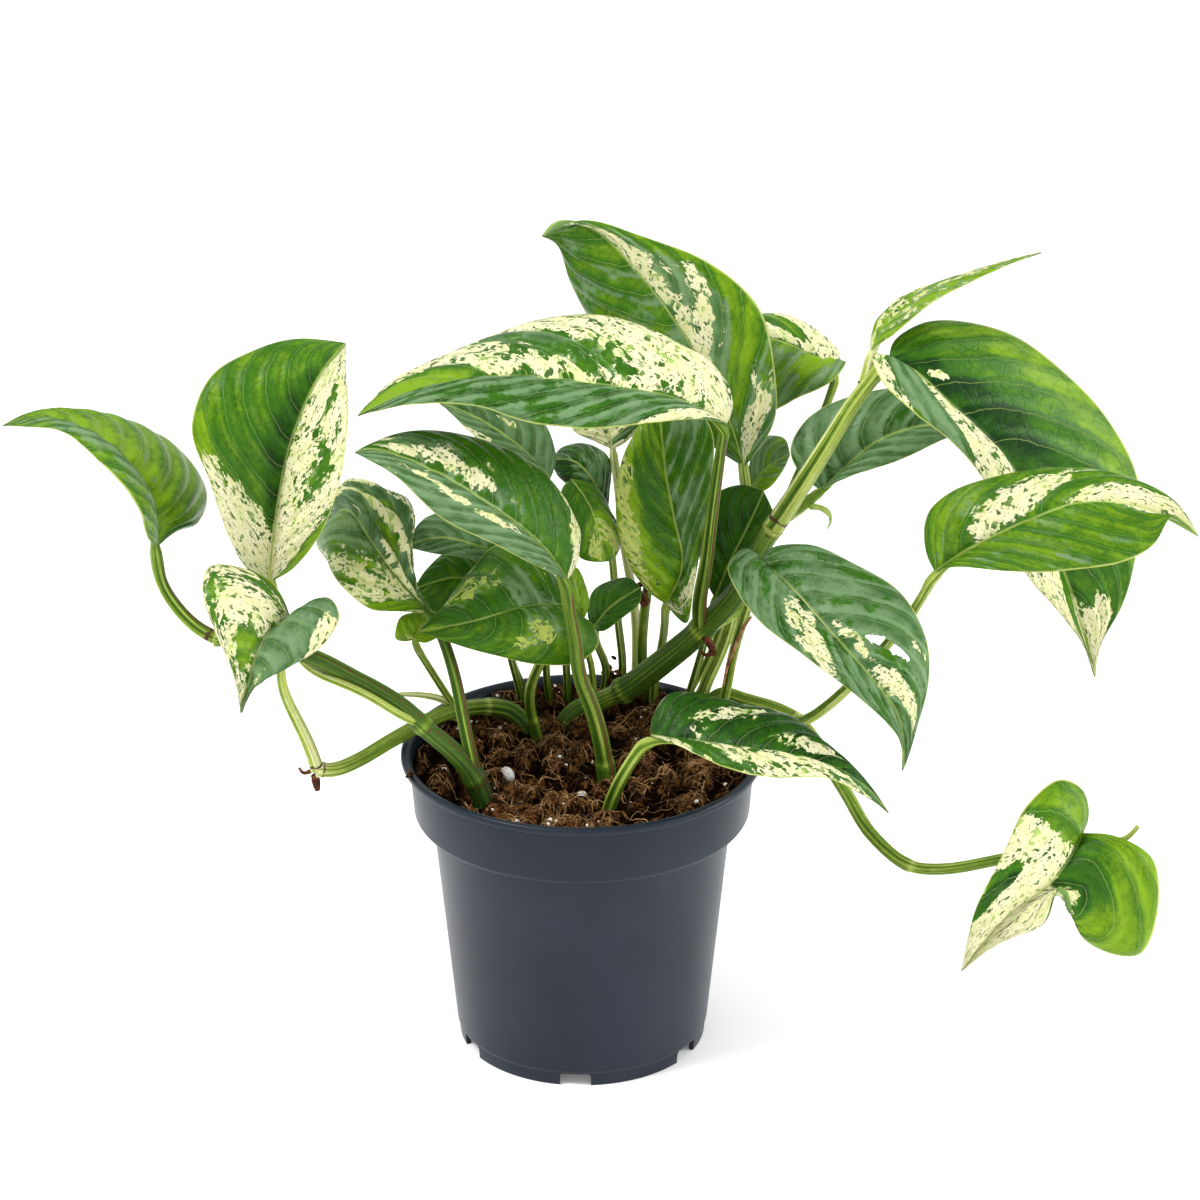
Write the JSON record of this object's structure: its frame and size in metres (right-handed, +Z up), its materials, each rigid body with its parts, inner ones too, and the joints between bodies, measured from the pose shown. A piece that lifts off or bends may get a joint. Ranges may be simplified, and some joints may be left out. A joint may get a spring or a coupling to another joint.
{
  "type": "potted pothos plant",
  "caption": "Variegated pothos with cream-splashed green leaves on trailing vines, rooted in peat soil in a round plastic nursery pot with a banded rim",
  "frame": {"origin": "the centre of the pot's foot, on the surface it stands on, which is within 3 mm of the middle of the whole plant", "axes": "+Z up; -Y the front, where the plant faces the viewer; +X to the right as seen from the front, where the longest vine trails"},
  "size_m": [0.4074, 0.1545, 0.2964],
  "materials": {
    "pot": "satin injection-moulded plastic, dark slate grey",
    "soil": "damp fibrous peat with tan root fibres and white perlite",
    "leaf": "waxy green leaf with cream variegation",
    "stalk": "smooth pale green stalk",
    "vine": "smooth green vine with brown joints"
  },
  "bodies": {
    "root": {"cut_stalk": "stalk", "leaf_back_right": "leaf", "leaf_back_tip": "leaf", "leaf_behind_base": "leaf", "leaf_behind_stem": "leaf", "leaf_broad_front": "leaf", "leaf_centre": "leaf", "leaf_cream_top": "leaf", "leaf_curled": "leaf", "leaf_dark_left": "leaf", "leaf_dark_lower": "leaf", "leaf_dark_right": "leaf", "leaf_dark_upper": "leaf", "leaf_far_left": "leaf", "leaf_front": "leaf", "leaf_lime": "leaf", "leaf_low_right": "leaf", "leaf_lower_left": "leaf", "leaf_mid_left": "leaf", "leaf_right_low": "leaf", "leaf_right_mid": "leaf", "leaf_right_tall": "leaf", "leaf_small_right": "leaf", "leaf_striped": "leaf", "leaf_top": "leaf", "leaf_under_long": "leaf", "leaf_upper_left": "leaf", "leaf_upper_long": "leaf", "leaf_young": "leaf", "pot": "pot", "shoot": "stalk", "soil": "soil", "stalk_back_right": "stalk", "stalk_behind_stem": "stalk", "stalk_broad_front": "stalk", "stalk_centre": "stalk", "stalk_cream_top": "stalk", "stalk_curled": "stalk", "stalk_dark_left": "stalk", "stalk_dark_lower": "stalk", "stalk_dark_right": "stalk", "stalk_dark_upper": "stalk", "stalk_far_left": "stalk", "stalk_front": "stalk", "stalk_lower_left": "stalk", "stalk_mid_left": "stalk", "stalk_right_low": "stalk", "stalk_right_mid": "stalk", "stalk_right_tall": "stalk", "stalk_small_right": "stalk", "stalk_striped": "stalk", "stalk_top": "stalk", "stalk_under_long": "stalk", "stalk_upper_left": "stalk", "stalk_upper_long": "stalk", "vine_left_high": "vine", "vine_left_low": "vine", "vine_right_low": "vine", "vine_right_main": "vine"}
  },
  "joints": []
}
